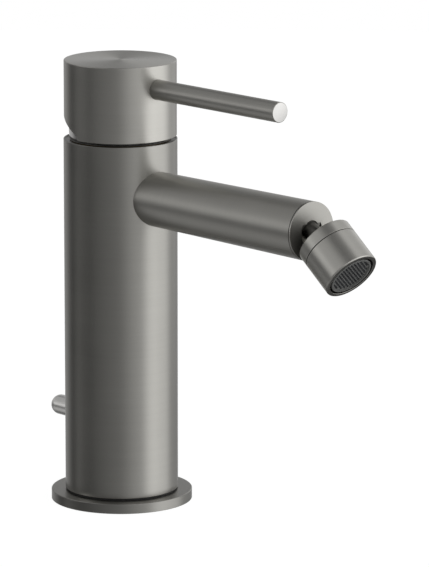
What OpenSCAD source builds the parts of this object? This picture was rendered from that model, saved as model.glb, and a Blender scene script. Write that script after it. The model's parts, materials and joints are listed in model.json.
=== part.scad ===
// Single-lever bidet mixer with a ball-jointed outlet, in millimetres.
// Z points up from the deck. The spout and the lever point along -Y, the pop-up knob along +Y.

/* [Base] */
// Height of the flange that stands on the deck
flange_t = 4; // [3:0.5:8]
// How far the flange stands out past the body
flange_overhang = 5.6; // [4:0.2:12]
// Thickness of the gasket between flange and body
gasket_t = 0.6; // [0.4:0.1:2]
// Height of the deck seal in its groove
deck_seal_t = 1.6; // [1:0.1:2.4]
// Height of the base block, from the deck
block_h = 18; // [17:0.5:26]
// Radius of the fixing stud's tapped hole
stud_r = 3.4; // [2.5:0.1:3.8]
// Depth of the fixing stud's tapped hole
stud_depth = 14; // [8:0.5:15]
// Distance of the fixing stud from the body axis
stud_offset = 12; // [10.5:0.5:14]
// Radius of the two tapped inlets
inlet_r = 4.5; // [4:0.1:4.8]
// Depth of the two tapped inlets
inlet_depth = 10; // [8:0.5:12]

/* [Body] */
// Diameter of the body column
body_d = 45; // [44.5:0.5:54]
// Length of the body tube
body_h = 141.4; // [138:0.2:180]
// Wall of the tube around the cartridge chamber and the base block
chamber_wall = 2.5; // [2:0.1:2.8]
// Wall of the tube between them
column_wall = 3.5; // [3:0.1:4.5]
// Distance of the supply pipes from the middle plane
pipe_offset = 9.5; // [9:0.1:10.5]
// Outer radius of the supply pipes
pipe_r = 5; // [4:0.1:5.2]
// Wall of the supply pipes
pipe_wall = 1; // [0.8:0.1:1.5]
// How deep the supply pipes sit in their sockets
pipe_seat = 4; // [3:0.5:5]

/* [Cartridge] */
// Depth of the cartridge seat's top below the body's top
seat_drop = 34; // [33.5:0.5:40]
// Height of the cartridge seat
seat_h = 11; // [10:0.5:16]
// Diameter of the cartridge
cartridge_d = 35; // [34:0.5:36]
// Height of the cartridge's base
base_h = 10; // [9:0.5:11]
// Radius of the fixed ceramic disc
disc_r = 14; // [13.5:0.1:14.4]
// Thickness of the fixed ceramic disc
disc_t = 4; // [3:0.1:4.5]
// Radius of the moving ceramic disc
moving_r = 10; // [9.5:0.1:10.8]
// Thickness of the moving ceramic disc
moving_t = 3.5; // [3:0.1:4]
// Radius of the turret that carries the spindle
turret_r = 11.4; // [11:0.1:12.5]
// Radius of the cartridge's neck
neck_r = 13.4; // [13:0.1:15]
// Side of the spindle's square head
spindle_side = 7; // [6:0.1:7.4]
// Length of the spindle above its pivot
spindle_up = 20; // [18:0.5:21]
// Length of the spindle below its pivot
spindle_down = 17; // [16.5:0.1:17.5]
// Height of the spindle's pivot above the body's top
pivot_rise = 4; // [3.5:0.1:5]
// Radius of the spindle's pivot pin
pivot_pin_r = 2; // [1.5:0.1:2.4]

/* [Handle] */
// How far the cap's side stands in from the body's side
cap_inset = 0.2; // [0:0.1:0.6]
// Height of the cap
cap_h = 30; // [28:0.2:40]
// Gap between body and cap
cap_gap = 1.4; // [1:0.1:2]
// Wall of the cap
cap_wall = 1.4; // [1.2:0.1:1.6]
// Full lift of the handle in degrees
lift_angle = 24; // [18:1:26]
// Diameter of the lever
lever_d = 8; // [6:0.5:9]
// Distance of the lever's end from the body axis
lever_reach = 92; // [60:0.5:140]
// Height of the lever's axis below the cap's top
lever_drop = 9.4; // [8.5:0.1:10.5]

/* [Spout] */
// Diameter of the spout tube at its end
spout_d = 23; // [22.4:0.1:24]
// Diameter of the spout tube at the body
spout_root_d = 21.7; // [21.2:0.1:23]
// Wall of the spout tube at its end
spout_wall = 2.1; // [1.8:0.1:2.3]
// Distance of the spout's end face from the body axis
spout_reach = 109.7; // [90:0.1:180]
// Height of the spout's axis below the body's top
spout_drop = 21.5; // [20.5:0.1:24]

/* [Outlet] */
// Diameter of the outlet nozzle
nozzle_d = 22.4; // [20.8:0.1:22.8]
// Length of the nozzle's collar
collar_l = 5.16; // [4.8:0.01:6]
// Length of the nozzle's housing
housing_l = 14.6; // [14:0.1:24]
// Radius of the ball that the nozzle turns on
ball_r = 6.5; // [6:0.1:6.6]
// Distance of the ball's centre from the spout's end face, along the stem
ball_out = 9.13; // [9:0.01:12]
// Slope of the ball stem below the level in degrees
stem_drop = 22; // [15:0.2:22.6]
// How far the nozzle tips either way from the stem in degrees
nozzle_tip = 16.2; // [12:0.1:17]
// Width of a rib in the outlet grille
grille_rib = 0.55; // [0.4:0.05:0.8]
// Spacing of the ribs in the outlet grille
grille_pitch = 1.6; // [1.4:0.1:2.4]

/* [Pop-up] */
// Diameter of the pop-up knob
knob_d = 8; // [7:0.5:10]
// Distance of the knob's end from the body axis
knob_reach = 41; // [40:0.5:60]
// Height of the knob's axis above the deck
knob_z = 31.5; // [29:0.5:40]
// Swing of the knob up and down in degrees
knob_swing = 15; // [8:1:15]
// Radius of the pull rod
rod_r = 2.5; // [2:0.1:2.6]

/* [Hidden] */
$fn = 96;

// Clearances: fixed pieces, turning pieces, and the play of a loosely guided piece
fit = 0.03;
run = 0.05;
play = 0.15;
// Broken edge on the outside of the metal pieces
edge = 0.3;
eps = 0.01;

body_r = body_d / 2;
chamber_r = body_r - chamber_wall;
column_r = body_r - column_wall;
flange_r = body_r + flange_overhang;
body_z = flange_t + gasket_t;
body_top = body_z + body_h;

seat_top = body_top - seat_drop;
seat_z = seat_top - seat_h;
cart_r = cartridge_d / 2;
fixed_z = seat_top + base_h - 1;
moving_z = fixed_z + disc_t;
carrier_z = moving_z + moving_t;
pivot_z = body_top + pivot_rise;
lean = lift_angle / 2;
socket_ball_r = 3;
socket_rise = 1.1;
carrier_wall = 1.5;
carrier_half = 9;
carrier_top = pivot_z - spindle_down * cos(lean) + socket_rise;
carrier_play = 1.5;
turret_flange_z = carrier_top + carrier_play;
turret_flange_t = 2.5;
turret_rise = 3.5;
turret_top = pivot_z + turret_rise;
neck_top = turret_top - 1.5;
shoulder_t = 2.5;
shoulder_z = turret_flange_z + turret_flange_t + shoulder_t;
spindle_leg_r = 2.5;
spindle_hub_half = 4.4;
spindle_hub_lip = 0.7;
spindle_hub_r = spindle_side / 2 + spindle_hub_lip;
slot_x = 4.5;
slot_y = 6.2;
turret_ring_r = cart_r - 2.2;
port_r = 2.6;
port_x = 6.5;
port_y = 2.5;
outlet_r = 3.5;
outlet_y = -6.5;
turret_groove_z = shoulder_z + 3;

cap_r = body_r - cap_inset;
cap_z = body_top + cap_gap;
cap_top = cap_z + cap_h;
cap_inner_r = cap_r - cap_wall;
cut_angle = lift_angle + 3;
cut_step = 2;
dome_gap = 0.5;
dome_r = cap_inner_r - dome_gap;
dome_rise = 9;
dome_top = pivot_z + dome_rise;
dome_wall = 1.4;
dome_foot = 2.7;
dome_inner_r = dome_r - dome_foot;
nut_top = pivot_z + 0.5;
nut_slot_w = 3;
nut_slot_t = 2;
lever_r = lever_d / 2;
lever_z = cap_top - lever_drop;
lever_seat = 2;
lever_stud_r = 2.5;
hub_r = 7.5;
hub_low = 6.5;
hub_sink = 4;
grub_tip_r = 1.2;
grub_y = (lever_z - pivot_z + grub_tip_r) * tan(lean) + spindle_side / 2 / cos(lean) + fit;
grub_l = 4.5;

spout_r = spout_d / 2;
spout_root_r = spout_root_d / 2;
spout_inner_r = spout_r - spout_wall;
spout_z = body_top - spout_drop;
spigot_r = 8;
spigot_bore_r = 6.2;
plug_t = 0.8;
plug_l = 10;
seam = 0.12;

nozzle_r = nozzle_d / 2;
nozzle_drop = stem_drop + nozzle_tip;
ball_y = -spout_reach - ball_out * cos(stem_drop);
ball_z = spout_z - ball_out * sin(stem_drop);
slip_t = 0.8;
slip_r = ball_r + run + slip_t;
cup_r = slip_r + run;
collar_back = -2.46;
collar_front = collar_back + collar_l;
stem_r = 4;
neck_stem_r = 3.4;
stem_bore_r = 2.2;
seal_z = ball_r * 0.56;
seal_t = 2.35;
seal_r = nozzle_r - 3.5;
collar_spigot_r = nozzle_r - 1.5;
web_z = seal_z + seal_t + fit;
web_t = 2.4;
chamber_z = web_z + web_t;
mouth_z = collar_front + housing_l;
mouth_r = nozzle_r - 1.6;
insert_r = mouth_r - 0.7;
insert_z = chamber_z + 1.5;
insert_front = mouth_z - 0.95;
grille_t = 1.4;
rib_t = 0.8;
grille_turn = -47;
cross_pitch = 2.6;

pipe_bottom = block_h - pipe_seat;
pipe_top = seat_z + pipe_seat;
pipe_bore_r = pipe_r - pipe_wall;
pipe_ring_sec = 0.56;
rod_y = 3;
rod_low = 4;
swing_y = column_r - 1;
arm_r = 2;
arm_ball_r = 2.2;
arm_pivot_r = 2.45;
slot_half = arm_ball_r + play;
head_half = slot_half + 1.15;
head_deep = 3;
bush_r = 6;
bush_in = 14.5;
bush_out = body_r + 0.4;
knob_start = body_r + 2.5;
popup_pin_r = 1;

brushed = [0.50, 0.49, 0.47];
brass = [0.80, 0.65, 0.35];
steel = [0.72, 0.72, 0.74];
plastic = [0.90, 0.90, 0.88];
grey_plastic = [0.35, 0.35, 0.36];
ceramic = [0.95, 0.94, 0.90];
rubber = [0.12, 0.12, 0.12];

// A plain ring between two heights
module ring(r_out, r_in, low, high) {
    translate([0, 0, low])
        difference() {
            cylinder(r = r_out, h = high - low);
            translate([0, 0, -eps]) cylinder(r = r_in, h = high - low + 2 * eps);
        }
}

// A hole or rod between two heights
module bar(r, low, high) {
    translate([0, 0, low]) cylinder(r = r, h = high - low);
}

// A round-section ring, centred on a height
module o_ring(r_mid, r_section, height) {
    translate([0, 0, height]) rotate_extrude() translate([r_mid, 0]) circle(r = r_section, $fn = 24);
}

// The same thing on the hot side and on the cold side
module both_sides(offset_x, offset_y) {
    for (side = [-1, 1]) translate([side * offset_x, offset_y, 0]) children();
}

// Frames of the leaning pieces: each puts its local Z along the piece
module at_spindle() {
    translate([0, 0, pivot_z]) rotate([lean, 0, 0]) children();
}

module at_spout() {
    translate([0, 0, spout_z]) rotate([90, 0, 0]) children();
}

module at_lever() {
    translate([0, 0, lever_z]) rotate([90, 0, 0]) children();
}

module at_stem() {
    translate([0, ball_y, ball_z]) rotate([90 + stem_drop, 0, 0]) children();
}

module at_nozzle() {
    translate([0, ball_y, ball_z]) rotate([90 + nozzle_drop, 0, 0]) children();
}

module at_knob() {
    translate([0, 0, knob_z]) rotate([-90, 0, 0]) children();
}

// Base
module base_flange() {
    color(brushed)
        rotate_extrude()
            polygon([
                [column_r + fit, 0], [flange_r - 4.1, 0], [flange_r - 4.1, deck_seal_t],
                [flange_r - 1.6, deck_seal_t], [flange_r - 1.6, 0], [flange_r, 0],
                [flange_r, flange_t - edge], [flange_r - edge, flange_t], [column_r + fit, flange_t]
            ]);
}

module deck_seal() {
    color(rubber) ring(flange_r - 1.6 - fit, flange_r - 4.1 + fit, 0, deck_seal_t - fit);
}

module body_gasket() {
    color(rubber) ring(body_r - 0.6, chamber_r + fit, flange_t, body_z);
}

module base_block() {
    color(brass)
        difference() {
            union() {
                bar(column_r, 0, flange_t);
                bar(chamber_r - fit, flange_t, block_h);
            }
            both_sides(pipe_offset, 0) {
                bar(inlet_r, -eps, inlet_depth);
                bar(pipe_bore_r, inlet_depth - 1, block_h);
                bar(pipe_r + fit, pipe_bottom, block_h + eps);
                bar(pipe_r + 1.2, block_h - 2.9, block_h - 1.7);
            }
            translate([0, -stud_offset, 0]) bar(stud_r, -eps, stud_depth);
            translate([0, rod_y, 0]) bar(rod_r + run, -eps, block_h + eps);
        }
}

// Body
module mixer_body() {
    color(brushed)
        difference() {
            rotate_extrude()
                polygon([
                    [chamber_r, body_z], [body_r - edge, body_z], [body_r, body_z + edge],
                    [body_r, body_top - edge], [body_r - edge, body_top], [chamber_r, body_top],
                    [chamber_r, seat_z], [column_r, seat_z], [column_r, block_h], [chamber_r, block_h]
                ]);
            at_spout() bar(spigot_r + fit, chamber_r - 4, body_r + 1);
            at_knob() bar(bush_r + fit, column_r - 4, body_r + 1);
        }
}

module supply_pipe(side) {
    color(brass) translate([side * pipe_offset, 0, 0]) ring(pipe_r, pipe_bore_r, pipe_bottom, pipe_top);
}

module hot_pipe() {
    supply_pipe(-1);
}

module cold_pipe() {
    supply_pipe(1);
}

module pipe_o_rings() {
    color(rubber)
        both_sides(pipe_offset, 0)
            for (height = [block_h - 2.3, seat_z + 2.3])
                o_ring(pipe_r + 0.6, pipe_ring_sec, height);
}

module cartridge_seat() {
    color(brass)
        difference() {
            bar(chamber_r - fit, seat_z, seat_top);
            both_sides(pipe_offset, 0) {
                bar(pipe_r + fit, seat_z - eps, pipe_top);
                bar(pipe_r + 1.2, seat_z + 1.7, seat_z + 2.9);
                bar(pipe_bore_r, pipe_top - 1, seat_top - 3);
            }
            both_sides(port_x, port_y) bar(3, seat_top - 5, seat_top + eps);
            ring(chamber_r + 1, chamber_r - 1.8, seat_z + 4.6, seat_z + 6.6);
        }
}

module seat_o_ring() {
    color(rubber) o_ring(chamber_r - 0.92, 0.86, seat_z + 5.6);
}

// Cartridge
module port_seals() {
    color(rubber) both_sides(port_x, port_y) ring(4.5, 3, seat_top, seat_top + 1.4);
}

module cartridge_base() {
    color(grey_plastic)
        difference() {
            bar(cart_r - 0.1, seat_top, seat_top + base_h);
            bar(disc_r + fit, fixed_z, fixed_z + 2);
            both_sides(port_x, port_y) {
                bar(4.5 + fit, seat_top - eps, seat_top + 1.4 + fit);
                bar(port_r, seat_top, fixed_z + eps);
            }
            translate([0, outlet_y, 0]) bar(outlet_r, seat_top + 3, fixed_z + eps);
            translate([-5, -cart_r - 1, seat_top + 3]) cube([10, cart_r + 1 + outlet_y, base_h - 5]);
        }
}

module cartridge_housing() {
    low = seat_top + base_h;
    color(plastic)
        rotate_extrude()
            polygon([
                [turret_ring_r + 0.2, low], [cart_r - edge, low], [cart_r, low + edge],
                [cart_r, shoulder_z], [neck_r, shoulder_z], [neck_r, neck_top - 0.5],
                [neck_r - 0.5, neck_top], [turret_r + run, neck_top],
                [turret_r + run, shoulder_z - 2.4], [turret_ring_r + 0.2, shoulder_z - 2.4]
            ]);
}

module fixed_disc() {
    color(ceramic)
        difference() {
            bar(disc_r, fixed_z, moving_z);
            both_sides(port_x, port_y) bar(port_r, fixed_z - eps, moving_z + eps);
            translate([0, outlet_y, 0]) bar(outlet_r, fixed_z - eps, moving_z + eps);
        }
}

module moving_disc() {
    rest_y = spindle_down * sin(lean);
    color(ceramic)
        translate([0, rest_y, 0])
            difference() {
                bar(moving_r, moving_z, carrier_z);
                translate([0, -3.5, 0]) bar(4.5, moving_z - eps, moving_z + 2);
            }
}

module disc_carrier() {
    rest_y = spindle_down * sin(lean);
    color(grey_plastic)
        translate([0, rest_y, 0])
            difference() {
                intersection() {
                    bar(moving_r + carrier_wall, carrier_z, carrier_top);
                    translate([-carrier_half, -2 * moving_r, carrier_z])
                        cube([2 * carrier_half, 4 * moving_r, carrier_top - carrier_z]);
                }
                bar(socket_ball_r + 0.1, carrier_z + 1, carrier_top + eps);
            }
}

module turret() {
    rib_h = turret_flange_z - carrier_z - 0.5;
    color(plastic)
        difference() {
            union() {
                bar(turret_r, turret_flange_z, turret_top);
                bar(turret_ring_r, turret_flange_z, turret_flange_z + turret_flange_t);
                intersection() {
                    bar(turret_ring_r, carrier_z + 0.5, turret_flange_z + 1);
                    both_sides(10.2, 0) translate([-1.1, -8, carrier_z]) cube([2.2, 16, rib_h + 1]);
                }
            }
            translate([-slot_x, -slot_y, carrier_z])
                cube([2 * slot_x, 2 * slot_y, turret_top - carrier_z + 1]);
            translate([0, 0, pivot_z]) rotate([0, 90, 0]) bar(pivot_pin_r + 0.01, -turret_r - 1, turret_r + 1);
            ring(turret_r + 1, turret_r - 1.6, turret_groove_z - 0.9, turret_groove_z + 0.9);
        }
}

module turret_o_ring() {
    color(rubber) o_ring(turret_r - 0.8, 0.76, turret_groove_z);
}

module spindle_pin() {
    color(steel)
        translate([0, 0, pivot_z]) rotate([0, 90, 0]) bar(pivot_pin_r, -turret_r + 0.5, turret_r - 0.5);
}

module spindle() {
    half = spindle_side / 2;
    color(steel)
        at_spindle()
            difference() {
                union() {
                    translate([-half, -half, 0]) cube([spindle_side, spindle_side, spindle_up]);
                    rotate([0, 90, 0]) bar(spindle_hub_r, -spindle_hub_half, spindle_hub_half);
                    bar(spindle_leg_r, -spindle_down + 1, 0);
                    translate([0, 0, -spindle_down]) sphere(r = socket_ball_r);
                }
                rotate([0, 90, 0]) bar(pivot_pin_r + run, -spindle_hub_half - 1, spindle_hub_half + 1);
            }
}

module retaining_nut() {
    color(brass)
        difference() {
            rotate_extrude()
                polygon([
                    [neck_r + 0.1, shoulder_z], [chamber_r - fit, shoulder_z], [chamber_r - fit, body_top],
                    [dome_inner_r - fit, body_top], [dome_inner_r - fit, nut_top], [neck_r + 0.1, nut_top]
                ]);
            for (turn = [0 : 60 : 300])
                rotate([0, 0, turn])
                    translate([neck_r - 2, -nut_slot_w / 2, nut_top - nut_slot_t])
                        cube([4, nut_slot_w, nut_slot_t + 1]);
        }
}

// The bright dome under the cap, a zone of a sphere about the lever's pivot
module cover_dome() {
    inner = dome_r - dome_wall;
    color(brushed)
        difference() {
            intersection() {
                translate([0, 0, pivot_z]) sphere(r = dome_r);
                bar(dome_r + 1, body_top, dome_top);
            }
            bar(dome_inner_r, body_top - eps, pivot_z + 1);
            intersection() {
                translate([0, 0, pivot_z]) sphere(r = inner);
                bar(dome_r + 1, pivot_z + 1 - eps, dome_top + eps);
            }
        }
}

// Handle
module handle_cap() {
    color(brushed)
        difference() {
            rotate_extrude()
                polygon([
                    [0, cap_z], [cap_r - 0.15, cap_z], [cap_r, cap_z + 0.15], [cap_r, cap_top - edge],
                    [cap_r - edge, cap_top], [0, cap_top]
                ]);
            difference() {
                union() {
                    translate([0, 0, pivot_z]) sphere(r = cap_inner_r);
                    bar(cap_inner_r, cap_z - 1, pivot_z);
                }
                at_spindle() bar(hub_r, hub_low, cap_inner_r + hub_sink);
            }
            at_spindle()
                translate([-spindle_side / 2 - run, -spindle_side / 2 - run, hub_low - 1])
                    cube([spindle_side + 2 * run, spindle_side + 2 * run, spindle_up - hub_low + 1.3]);
            intersection() {
                translate([0, -1, cap_z])
                    rotate([cut_angle, 0, 0])
                        translate([-cap_r - 1, 0, -cap_r]) cube([2 * cap_r + 2, 2 * cap_r, cap_r]);
                translate([-cap_r - 1, cut_step, cap_z - 2]) cube([2 * cap_r + 2, cap_r, cap_r]);
            }
            at_lever() {
                bar(lever_stud_r + fit, grub_y - 1, cap_r);
                bar(lever_r + run, cap_r - lever_seat, cap_r + 1);
            }
        }
}

module lever_pin() {
    color(brushed)
        at_lever()
            rotate_extrude()
                polygon([
                    [0, grub_y + grub_l + 0.5], [lever_stud_r, grub_y + grub_l + 0.5],
                    [lever_stud_r, cap_r - lever_seat + fit], [lever_r, cap_r - lever_seat + fit],
                    [lever_r, lever_reach - edge], [lever_r - edge, lever_reach], [0, lever_reach]
                ]);
}

module handle_grub_screw() {
    color(steel)
        at_lever()
            difference() {
                rotate_extrude()
                    polygon([
                        [0, grub_y], [grub_tip_r, grub_y], [lever_stud_r, grub_y + 1],
                        [lever_stud_r, grub_y + grub_l], [0, grub_y + grub_l]
                    ]);
                translate([0, 0, grub_y + grub_l - 2]) cylinder(r = 1.45, h = 3, $fn = 6);
            }
}

// Spout
module spout_tube() {
    tube_end = spout_reach - plug_t - seam;
    color(brushed)
        difference() {
            at_spout()
                difference() {
                    union() {
                        bar(spout_root_r, body_r - 8, body_r);
                        translate([0, 0, body_r])
                            cylinder(r1 = spout_root_r, r2 = spout_r, h = tube_end - body_r);
                    }
                    bar(spout_inner_r, body_r + 4, tube_end + 1);
                    bar(spigot_bore_r, 0, body_r + 5);
                }
            difference() {
                bar(body_r + fit, spout_z - spout_r - 1, spout_z + spout_r + 1);
                at_spout() bar(spigot_r, 0, body_r + 1);
            }
            bar(chamber_r, spout_z - spout_r - 1, spout_z + spout_r + 1);
        }
}

module spout_end_plug() {
    tube_end = spout_reach - plug_t;
    color(brushed)
        difference() {
            at_spout()
                rotate_extrude()
                    polygon([
                        [0, tube_end - plug_l], [spout_inner_r - fit, tube_end - plug_l],
                        [spout_inner_r - fit, tube_end], [spout_r, tube_end], [spout_r, spout_reach - edge],
                        [spout_r - edge, spout_reach], [0, spout_reach]
                    ]);
            at_stem() {
                bar(stem_r + fit, -ball_out - plug_l - 6, -ball_out + 4);
                bar(stem_r + 1.4, -ball_out - 1.2, -ball_out + 6);
            }
            at_spout()
                ring(spout_inner_r + 1, spout_inner_r - 1.4, tube_end - 7, tube_end - 5.4);
        }
}

module spout_o_ring() {
    color(rubber) at_spout() o_ring(spout_inner_r - 0.7, 0.66, spout_reach - plug_t - 6.2);
}

// Outlet: the nozzle turns on a ball that stands out of the spout's end
module ball_stem() {
    color(brushed)
        at_stem()
            difference() {
                union() {
                    bar(stem_r, -ball_out - 9.5, -ball_out - 1.2);
                    bar(neck_stem_r, -ball_out - 1.5, 0);
                    sphere(r = ball_r);
                }
                bar(stem_bore_r, -ball_out - 10, ball_r + 1);
            }
}

module slip_ring() {
    color(rubber)
        at_stem()
            difference() {
                intersection() {
                    sphere(r = slip_r);
                    bar(slip_r + 1, -3, 0.5);
                }
                sphere(r = ball_r + run);
            }
}

module nozzle_collar() {
    color(brushed)
        at_nozzle()
            difference() {
                rotate_extrude()
                    polygon([
                        [0, collar_back], [nozzle_r - 1, collar_back], [nozzle_r - 0.8, collar_back + 0.08],
                        [nozzle_r - 0.1, collar_back + 0.56], [nozzle_r, collar_back + 0.71],
                        [nozzle_r, collar_front - 0.1], [nozzle_r - 0.1, collar_front],
                        [collar_spigot_r, collar_front], [collar_spigot_r, web_z - 0.6], [0, web_z - 0.6]
                    ]);
                sphere(r = cup_r);
                bar(seal_r + fit, seal_z - 0.05, web_z);
            }
}

module ball_seal() {
    color(rubber)
        at_nozzle()
            difference() {
                ring(seal_r, stem_r, seal_z, seal_z + seal_t);
                sphere(r = ball_r + run);
            }
}

module nozzle_housing() {
    color(brushed)
        at_nozzle()
            rotate_extrude()
                polygon(concat(
                    [
                        [collar_spigot_r + fit, collar_front + seam], [nozzle_r - 0.1, collar_front + seam],
                        [nozzle_r, collar_front + seam + 0.1]
                    ],
                    [for (a = [0 : 15 : 90]) [nozzle_r - 0.8 + 0.8 * cos(a), mouth_z - 0.8 + 0.8 * sin(a)]],
                    [
                        [mouth_r + 0.3, mouth_z], [mouth_r, mouth_z - 0.3], [mouth_r, chamber_z],
                        [stem_r, chamber_z], [stem_r, web_z], [collar_spigot_r + fit, web_z]
                    ]
                ));
}

module aerator_washer() {
    color(rubber) at_nozzle() ring(mouth_r - 0.2, stem_r + 1, chamber_z, insert_z);
}

// The perforated plate inside the aerator
module aerator_diffuser() {
    color(grey_plastic)
        at_nozzle()
            difference() {
                bar(insert_r - 1, insert_z + 3, insert_z + 4);
                for (turn = [0 : 30 : 330])
                    rotate([0, 0, turn]) translate([insert_r - 3, 0, 0]) bar(0.6, insert_z + 2, insert_z + 5);
            }
}

// Front of the grille: long slots between the ribs
module grille_slots() {
    rows = floor(insert_r / grille_pitch);
    intersection() {
        circle(r = insert_r - 1.1);
        for (row = [-rows : rows])
            translate([row * grille_pitch, 0])
                square([grille_pitch - grille_rib, 2 * insert_r], center = true);
    }
}

// Back of the grille: the slots are narrower, and short bars cross them in alternate places
module grille_openings() {
    rows = floor(insert_r / grille_pitch);
    intersection() {
        circle(r = insert_r - 1.3);
        for (row = [-rows : rows])
            translate([row * grille_pitch, 0])
                for (place = [-3 : 3])
                    translate([0, (place + (row % 2 == 0 ? 0.5 : 0)) * cross_pitch])
                        square([grille_pitch - grille_rib - 0.3, cross_pitch - grille_rib], center = true);
    }
}

module aerator_insert() {
    color(grey_plastic)
        at_nozzle()
            difference() {
                union() {
                    bar(mouth_r - fit, insert_z, insert_z + 2);
                    bar(insert_r, insert_z, insert_front);
                }
                bar(insert_r - 2, insert_z - eps, insert_z + 3);
                bar(insert_r - 1 + fit, insert_z + 3 - eps, insert_front - grille_t);
                rotate([0, 0, grille_turn]) {
                    translate([0, 0, insert_front - grille_t - eps])
                        linear_extrude(grille_t) grille_openings();
                    translate([0, 0, insert_front - rib_t])
                        linear_extrude(rib_t + eps) grille_slots();
                }
            }
}

// Pop-up
module popup_bush() {
    waist = arm_pivot_r + 0.1;
    out_r = (bush_out - swing_y) * tan(knob_swing) + arm_r / cos(knob_swing) + 0.2;
    in_r = (swing_y - bush_in) * tan(knob_swing) + arm_r / cos(knob_swing) + 0.2;
    color(brushed)
        difference() {
            at_knob()
                rotate_extrude()
                    polygon([
                        [in_r, bush_in], [bush_r, bush_in], [bush_r, bush_out - edge], [bush_r - edge, bush_out],
                        [out_r, bush_out], [waist, swing_y + 1], [waist, swing_y - 1]
                    ]);
            translate([0, swing_y, knob_z]) rotate([0, 90, 0]) bar(popup_pin_r + 0.01, -bush_r, bush_r);
        }
}

module popup_pivot_pin() {
    color(steel)
        translate([0, swing_y, knob_z]) rotate([0, 90, 0]) bar(popup_pin_r, -bush_r + 0.6, bush_r - 0.6);
}

module popup_arm() {
    color(steel)
        difference() {
            at_knob() {
                bar(arm_r, swing_y, knob_start + 9);
                bar(1.3, rod_y, swing_y);
                translate([0, 0, rod_y]) sphere(r = arm_ball_r);
                translate([0, 0, swing_y]) sphere(r = arm_pivot_r);
            }
            translate([0, swing_y, knob_z]) rotate([0, 90, 0]) bar(popup_pin_r + run, -4, 4);
        }
}

module popup_knob() {
    knob_r = knob_d / 2;
    color(brushed)
        at_knob()
            difference() {
                union() {
                    bar(knob_r, knob_start, knob_reach - knob_r);
                    translate([0, 0, knob_reach - knob_r]) sphere(r = knob_r);
                }
                bar(arm_r + fit, knob_start - 1, knob_start + 9 + fit);
            }
}

module popup_rod() {
    color(brass)
        translate([0, rod_y, 0])
            difference() {
                union() {
                    bar(rod_r, rod_low, knob_z - 5);
                    translate([-head_half, -head_deep, knob_z - 6]) cube([2 * head_half, 2 * head_deep, 12]);
                }
                translate([-slot_half, -head_deep - 1, knob_z - slot_half])
                    cube([2 * slot_half, 2 * head_deep + 2, 2 * slot_half]);
                bar(1.65, rod_low - 1, rod_low + 8);
            }
}

base_flange();
deck_seal();
body_gasket();
base_block();
mixer_body();
hot_pipe();
cold_pipe();
pipe_o_rings();
cartridge_seat();
seat_o_ring();
port_seals();
cartridge_base();
cartridge_housing();
fixed_disc();
moving_disc();
disc_carrier();
turret();
turret_o_ring();
spindle_pin();
spindle();
retaining_nut();
cover_dome();
handle_cap();
lever_pin();
handle_grub_screw();
spout_tube();
spout_end_plug();
spout_o_ring();
ball_stem();
slip_ring();
nozzle_collar();
ball_seal();
nozzle_housing();
aerator_washer();
aerator_diffuser();
aerator_insert();
popup_bush();
popup_pivot_pin();
popup_arm();
popup_knob();
popup_rod();
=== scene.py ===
"""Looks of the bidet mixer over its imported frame: turned metal pieces, their finishes and the stage."""

import json
import math
from types import SimpleNamespace

import bmesh
import bpy
from bpy.props import FloatProperty, FloatVectorProperty, IntProperty, PointerProperty
from mathutils import Matrix, Vector


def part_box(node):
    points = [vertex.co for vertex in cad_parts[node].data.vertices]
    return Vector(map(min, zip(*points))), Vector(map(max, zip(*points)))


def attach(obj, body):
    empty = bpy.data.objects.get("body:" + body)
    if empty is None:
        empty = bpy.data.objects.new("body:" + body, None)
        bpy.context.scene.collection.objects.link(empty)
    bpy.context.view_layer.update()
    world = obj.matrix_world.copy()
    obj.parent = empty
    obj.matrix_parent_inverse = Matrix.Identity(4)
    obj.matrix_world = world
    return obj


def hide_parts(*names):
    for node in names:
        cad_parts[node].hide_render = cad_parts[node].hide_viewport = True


bl_info = {
    "name": "Bidet Mixer",
    "version": (1, 0, 0),
    "blender": (4, 5, 0),
    "location": "View3D > Sidebar > Mixer",
    "description": "Builds the visible pieces, finishes and stage of a single-lever bidet mixer",
    "category": "Object",
}

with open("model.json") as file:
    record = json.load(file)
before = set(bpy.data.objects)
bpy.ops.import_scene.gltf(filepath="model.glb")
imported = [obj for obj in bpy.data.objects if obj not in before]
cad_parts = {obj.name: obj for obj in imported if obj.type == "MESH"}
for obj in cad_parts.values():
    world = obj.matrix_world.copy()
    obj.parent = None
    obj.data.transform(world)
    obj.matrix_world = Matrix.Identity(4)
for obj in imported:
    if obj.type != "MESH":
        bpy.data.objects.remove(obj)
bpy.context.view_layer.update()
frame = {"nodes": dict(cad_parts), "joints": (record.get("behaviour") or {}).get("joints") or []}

MM = 0.001
JOINTS = {joint["name"]: joint for joint in frame["joints"]}

# Clearances of the solids between fixed pieces and between turning pieces, in millimetres
FIT = 0.03
RUN = 0.05


def low(node):
    """Lowest corner of a CAD node in millimetres."""
    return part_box(node)[0] / MM


def high(node):
    """Highest corner of a CAD node in millimetres."""
    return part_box(node)[1] / MM


def leaning(place, degrees):
    """The frame of a piece at a place, with its own Z leaning from the upright towards the spout."""
    return Matrix.Translation(place) @ Matrix.Rotation(math.radians(degrees), 4, "X")


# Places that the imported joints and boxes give, in millimetres and degrees
LIFT_Z = JOINTS["handle_lift"]["pos_m"][2] / MM
LIFT_ANGLE = JOINTS["handle_lift"]["range_deg"][1]
KNOB_Z = JOINTS["popup_tilt"]["pos_m"][2] / MM
LEVER_Z = (low("lever_pin").z + high("lever_pin").z) / 2
SPOUT_Z = (low("spout_o_ring").z + high("spout_o_ring").z) / 2
BALL = Vector(JOINTS["nozzle_swivel"]["pos_m"]) / MM
BALL_OUT = (Vector((0, low("spout_end_plug").y, SPOUT_Z)) - BALL).length
STEM_DROP = math.degrees(math.asin(-Vector(JOINTS["nozzle_swivel"]["axis"]).normalized().z))
NOZZLE_TIP = (JOINTS["nozzle_tilt"]["range_deg"][1] - JOINTS["nozzle_tilt"]["range_deg"][0]) / 2

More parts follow.
